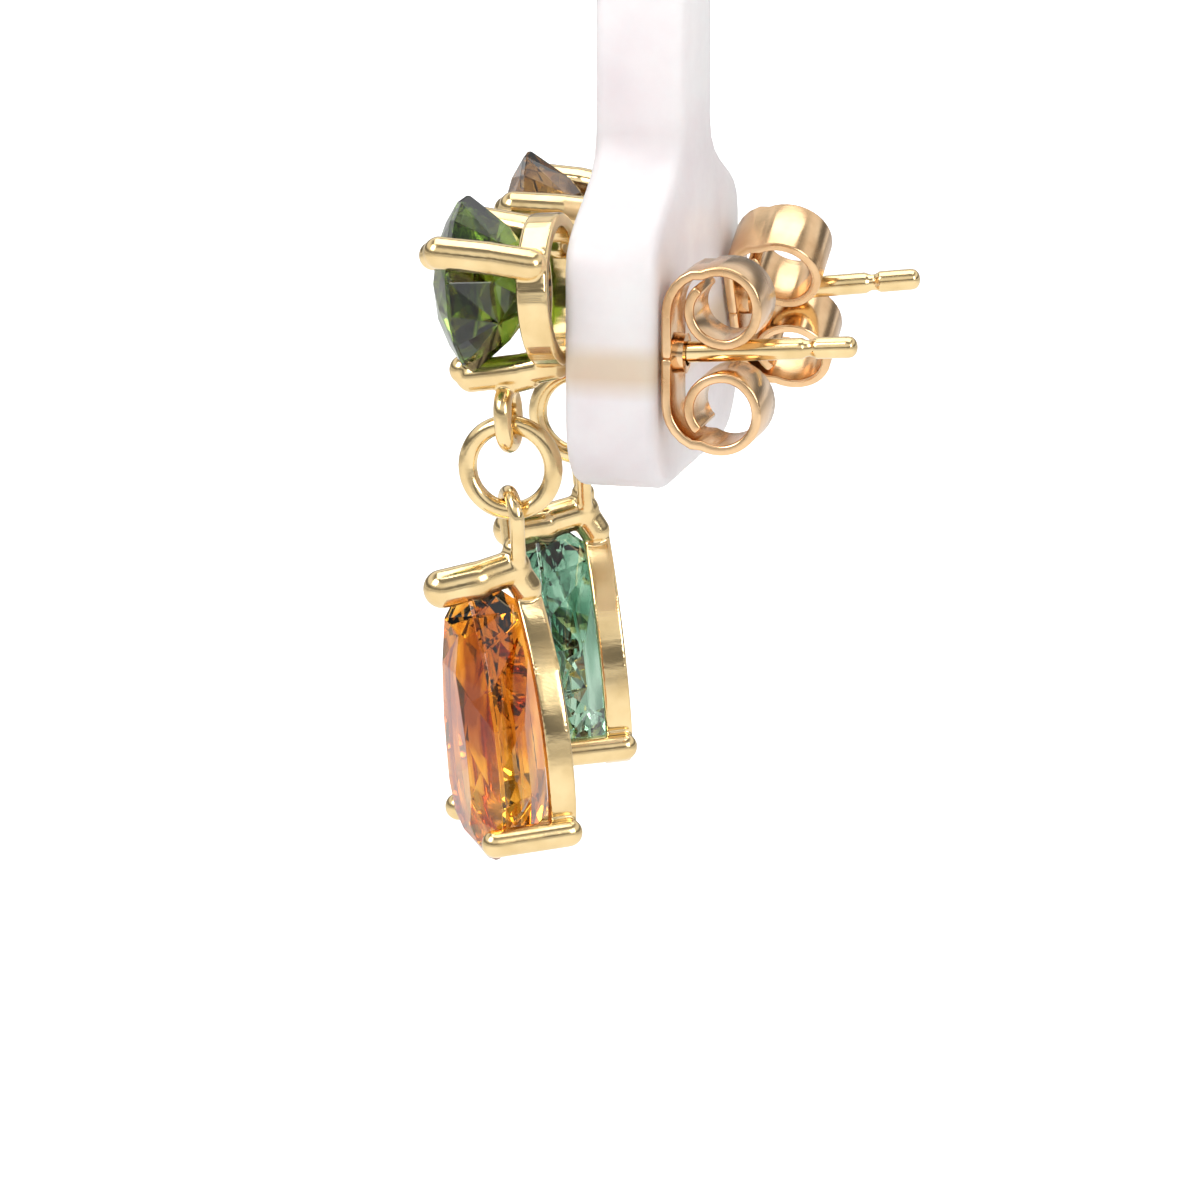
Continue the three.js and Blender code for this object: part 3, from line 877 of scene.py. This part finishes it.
# Painted light from the gold posts: white above and below, warm brown at the posts' height.
glow = nodes.new("ShaderNodeValToRGB")
glow.color_ramp.elements[0].position = 0.25
glow.color_ramp.elements[0].color = (1, 1, 1, 1)
glow.color_ramp.elements[1].position = 0.85
glow.color_ramp.elements[1].color = (1, 1, 1, 1)
for position, colour in PAINTED_POST_LIGHT_STEPS:
    glow.color_ramp.elements.new(position).color = (*colour, 1)
links.new(height.outputs["Result"], glow.inputs["Fac"])
warm = nodes.new("ShaderNodeMix")
warm.data_type = "RGBA"
warm.blend_type = "MULTIPLY"
warm.inputs["Factor"].default_value = 1.0
links.new(milk.outputs["Color"], warm.inputs["A"])
links.new(glow.outputs["Color"], warm.inputs["B"])
links.new(warm.outputs["Result"], surface.inputs["Base Color"])
print("acrylic colour steps:", len(glow.color_ramp.elements))

# %% [markdown]
# The thin neck is clearer than the thick paddle, so its alpha falls towards the top. The surface is rubbed,
# which a fine noise in the roughness and the bump shows.

# %% Clear neck and rubbed surface
NECK_FOOT, NECK_TOP, NECK_ALPHA = -0.011, -0.002, 0.62
clear = nodes.new("ShaderNodeMapRange")
clear.inputs["From Min"].default_value = NECK_FOOT
clear.inputs["From Max"].default_value = NECK_TOP
clear.inputs["To Min"].default_value = 1.0
clear.inputs["To Max"].default_value = NECK_ALPHA
links.new(split.outputs["Z"], clear.inputs["Value"])
links.new(clear.outputs["Result"], surface.inputs["Alpha"])
rub = nodes.new("ShaderNodeTexNoise")
rub.inputs["Scale"].default_value = 2500
rub.inputs["Detail"].default_value = 3
links.new(place.outputs["Object"], rub.inputs["Vector"])
matt = nodes.new("ShaderNodeMapRange")
matt.inputs["To Min"].default_value = 0.3
matt.inputs["To Max"].default_value = 0.5
links.new(rub.outputs["Fac"], matt.inputs["Value"])
links.new(matt.outputs["Result"], surface.inputs["Roughness"])
bump = nodes.new("ShaderNodeBump")
bump.inputs["Strength"].default_value = 0.15
bump.inputs["Distance"].default_value = 0.00003
links.new(rub.outputs["Fac"], bump.inputs["Height"])
links.new(bump.outputs["Normal"], surface.inputs["Normal"])
bar.data.materials.append(acrylic)
print("bar's material:", bar.data.materials[0].name)

# %% [markdown]
# Each piece now gets its material.

# %% Give every piece its finish
for key, piece in pieces.items():
    piece.data.materials.clear()
    if key in GEMS:
        piece.data.materials.append(GEMS[key])
    elif key[1] == "butterfly_back":
        piece.data.materials.append(rose_gold)
    else:
        piece.data.materials.append(yellow_gold)
print("finished pieces:", len(pieces) + 1)
